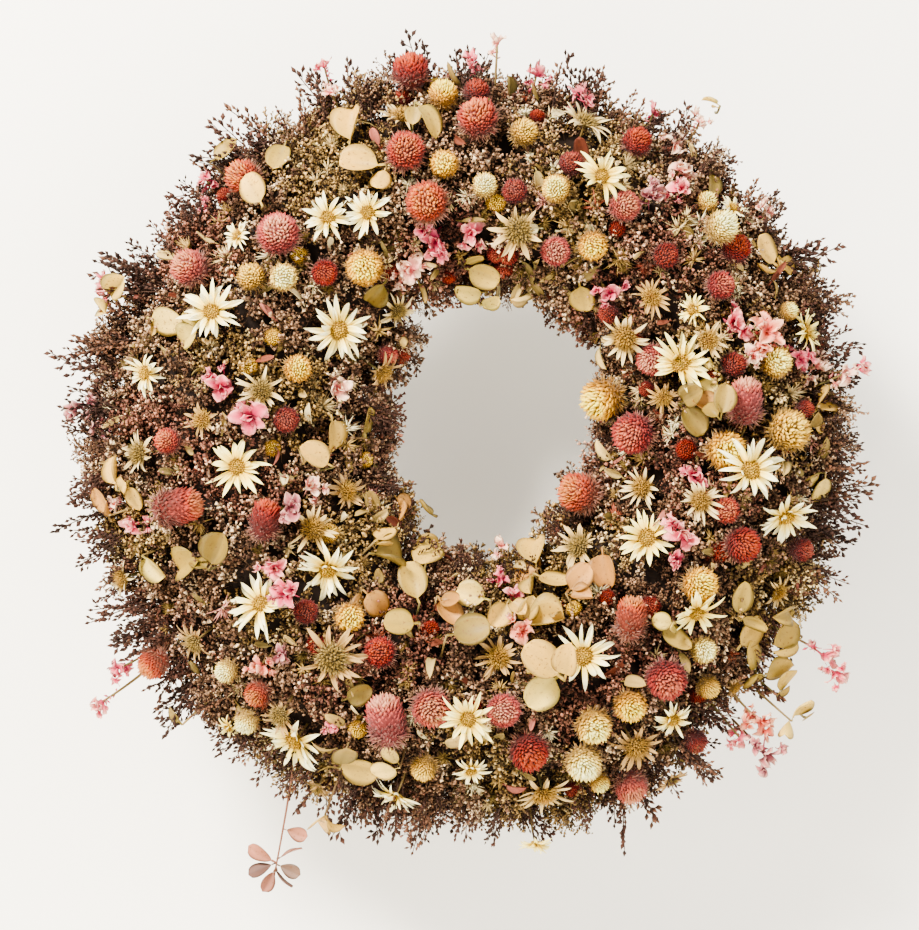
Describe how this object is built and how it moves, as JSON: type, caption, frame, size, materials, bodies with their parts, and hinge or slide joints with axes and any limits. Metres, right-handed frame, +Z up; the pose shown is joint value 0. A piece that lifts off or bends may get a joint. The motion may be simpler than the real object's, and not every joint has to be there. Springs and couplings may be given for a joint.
{
  "type": "harvest door wreath",
  "caption": "Round dried-flower wreath: bunches of sea lavender bound to a welded wire frame, set with globe flowers, daisies, larkspur and pale leaves, with a wire hanging loop.",
  "frame": {"origin": "centre of the frame rings, on the plane of the door's surface that the back of the frame touches", "axes": "+Z up, +Y into the door, +X to the right as seen from the front; the flowers face -Y"},
  "size_m": [0.4909, 0.1029, 0.5195],
  "materials": {
    "frame_wire": "satin dark green enamel",
    "hanger_wire": "dull galvanised",
    "binding_wire": "satin green",
    "bound_stems": "dry matte",
    "sea_lavender": "dry matte",
    "red_globes": "papery bracts",
    "cream_globes": "papery bracts",
    "white_petals": "thin matte petals",
    "tan_petals": "faded matte petals",
    "pink_petals": "thin matte petals",
    "pale_leaves": "smooth dried leaf",
    "flower_stems": "dry matte",
    "sprig_stem": "dry matte",
    "sprig_leaves": "smooth dried leaf"
  },
  "bodies": {
    "wreath": {"binding_wire": "binding_wire", "cream_globe_amaranth_bottom_left": "cream_globes", "cream_globe_amaranth_bottom_right": "cream_globes", "cream_globe_amaranth_top_left": "cream_globes", "cream_globe_amaranth_top_right": "cream_globes", "eucalyptus_sprig_leaves": "sprig_leaves", "eucalyptus_sprig_stem": "sprig_stem", "flower_stems_bottom_left": "flower_stems", "flower_stems_bottom_right": "flower_stems", "flower_stems_top_left": "flower_stems", "flower_stems_top_right": "flower_stems", "frame_cross_ties": "frame_wire", "frame_ring_back_inner": "frame_wire", "frame_ring_back_outer": "frame_wire", "frame_ring_front_inner": "frame_wire", "frame_ring_front_outer": "frame_wire", "hanger_bar": "frame_wire", "pale_leaves_bottom_left": "pale_leaves", "pale_leaves_bottom_right": "pale_leaves", "pale_leaves_top_left": "pale_leaves", "pale_leaves_top_right": "pale_leaves", "pink_larkspur_bottom_left": "pink_petals", "pink_larkspur_bottom_right": "pink_petals", "pink_larkspur_top_left": "pink_petals", "pink_larkspur_top_right": "pink_petals", "red_globe_amaranth_bottom_left": "red_globes", "red_globe_amaranth_bottom_right": "red_globes", "red_globe_amaranth_top_left": "red_globes", "red_globe_amaranth_top_right": "red_globes", "sea_lavender_bunch_01": "sea_lavender", "sea_lavender_bunch_02": "sea_lavender", "sea_lavender_bunch_03": "sea_lavender", "sea_lavender_bunch_04": "sea_lavender", "sea_lavender_bunch_05": "sea_lavender", "sea_lavender_bunch_06": "sea_lavender", "sea_lavender_bunch_07": "sea_lavender", "sea_lavender_bunch_08": "sea_lavender", "sea_lavender_bunch_09": "sea_lavender", "sea_lavender_bunch_10": "sea_lavender", "stem_bundle_01": "bound_stems", "stem_bundle_02": "bound_stems", "stem_bundle_03": "bound_stems", "stem_bundle_04": "bound_stems", "stem_bundle_05": "bound_stems", "stem_bundle_06": "bound_stems", "stem_bundle_07": "bound_stems", "stem_bundle_08": "bound_stems", "stem_bundle_09": "bound_stems", "stem_bundle_10": "bound_stems", "tan_daisies_bottom_left": "tan_petals", "tan_daisies_bottom_right": "tan_petals", "tan_daisies_top_left": "tan_petals", "tan_daisies_top_right": "tan_petals", "white_daisies_bottom_left": "white_petals", "white_daisies_bottom_right": "white_petals", "white_daisies_top_left": "white_petals", "white_daisies_top_right": "white_petals"},
    "hanger": {"hanger_loop": "hanger_wire"}
  },
  "joints": [
    {"name": "hanger_swing", "type": "hinge", "parent": "wreath", "child": "hanger", "pos_m": [0, -0.0038, 0.171], "axis": [-1, 0, 0], "range_deg": [0, 150]}
  ]
}
